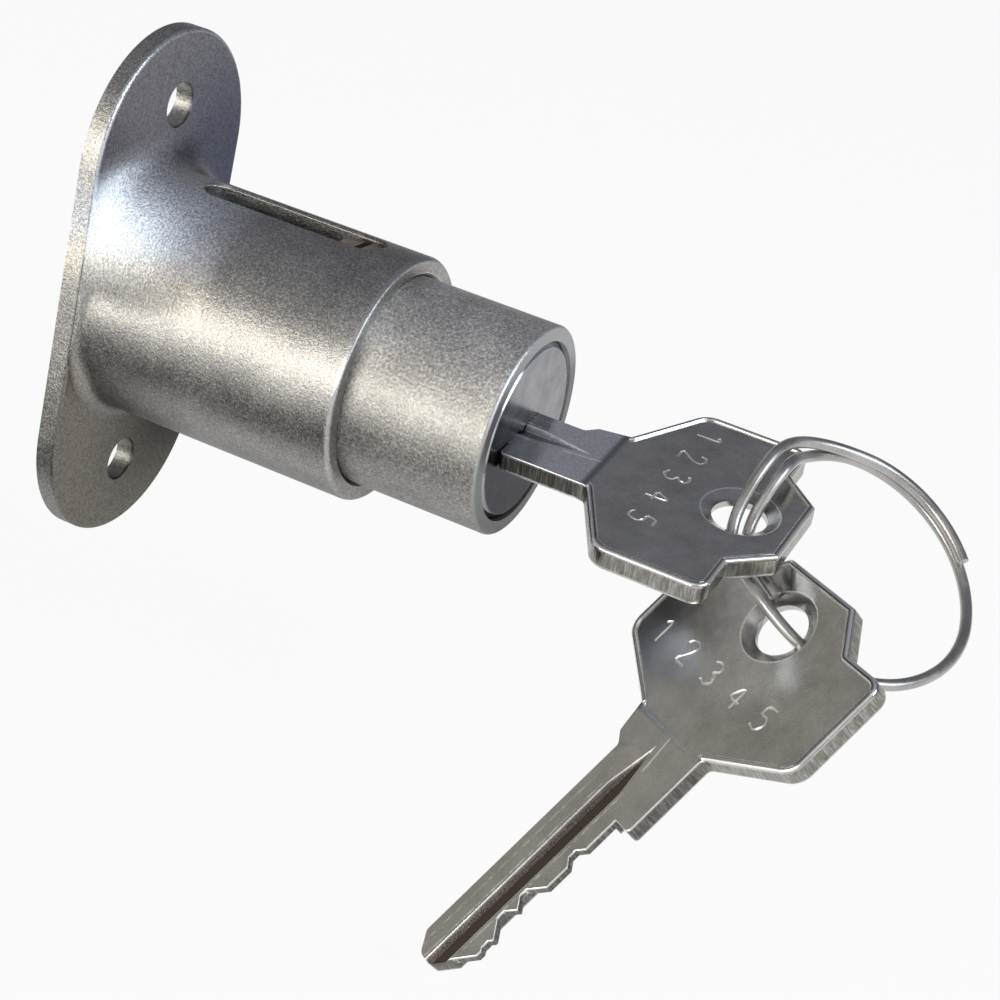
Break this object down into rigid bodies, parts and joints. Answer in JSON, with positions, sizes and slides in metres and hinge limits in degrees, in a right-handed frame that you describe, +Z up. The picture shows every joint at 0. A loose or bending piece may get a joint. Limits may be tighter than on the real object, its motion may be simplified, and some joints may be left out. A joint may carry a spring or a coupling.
{
  "type": "cabinet key lock",
  "caption": "Push-type sliding-door cabinet lock with an oval two-hole flange, its plunger out, a key in the plug and a spare key on a wire ring.",
  "frame": {"origin": "middle of the flange's back face, on the barrel's axis", "axes": "+X along the barrel towards the key, +Z up along the flange's long side, +Y across the flange"},
  "size_m": [0.0786, 0.0415, 0.0585],
  "materials": {
    "nickel_casting": "satin nickel plating on a zinc casting",
    "plug_nickel": "semi-polished nickel",
    "key_nickel": "polished nickel plating on brass",
    "ring_steel": "polished spring steel wire",
    "brass_parts": "plain turned brass",
    "plain_steel": "plain pressed steel",
    "screw_steel": "darkened steel",
    "spring_steel": "bright spring wire"
  },
  "bodies": {
    "housing": {"housing": "nickel_casting", "return_spring": "spring_steel"},
    "plunger": {"plunger_body": "nickel_casting", "rear_cap": "plain_steel", "locking_bolt": "nickel_casting", "chamber_cover": "brass_parts", "guide_screw": "screw_steel", "driver_pin_1": "brass_parts", "driver_pin_2": "brass_parts", "driver_pin_3": "brass_parts", "driver_pin_4": "brass_parts", "driver_pin_5": "brass_parts", "driver_spring_1": "spring_steel", "driver_spring_2": "spring_steel", "driver_spring_3": "spring_steel", "driver_spring_4": "spring_steel", "driver_spring_5": "spring_steel"},
    "plug": {"plug": "plug_nickel", "retaining_clip": "spring_steel", "key_pin_1": "brass_parts", "key_pin_2": "brass_parts", "key_pin_3": "brass_parts", "key_pin_4": "brass_parts", "key_pin_5": "brass_parts", "lock_key": "key_nickel"},
    "latch": {"latch": "plain_steel"},
    "key_ring": {"key_ring": "ring_steel"},
    "spare_key": {"spare_key": "key_nickel"}
  },
  "joints": [
    {"name": "plunger_slide", "type": "slide", "parent": "housing", "child": "plunger", "axis": [1, 0, 0], "range_m": [-0.0126, 0], "stiffness_N_per_m": 300, "springref_m": 0.004, "deforming": ["return_spring"]},
    {"name": "plug_turn", "type": "hinge", "parent": "plunger", "child": "plug", "pos_m": [0.03958, 0, 0], "axis": [1, 0, 0], "range_deg": [-13, 77]},
    {"name": "latch_slide", "type": "slide", "parent": "plunger", "child": "latch", "axis": [0, 0, -1], "range_m": [-0.00021, 0.00121]},
    {"name": "ring_swing", "type": "hinge", "parent": "plug", "child": "key_ring", "pos_m": [0.05959, -0.00064, -0.00045], "axis": [0.4662, -0.3361, 0.8183], "range_deg": [-0.8, 6.5]},
    {"name": "spare_key_swing", "type": "hinge", "parent": "key_ring", "child": "spare_key", "pos_m": [0.06667, -0.00625, -0.00532], "axis": [-0.8782, 0.0392, 0.4767], "range_deg": [-4, 13]}
  ],
  "couplings": [
    {"joint": "latch_slide", "follows": "plug_turn", "m_per_rad": 0.0009}
  ]
}
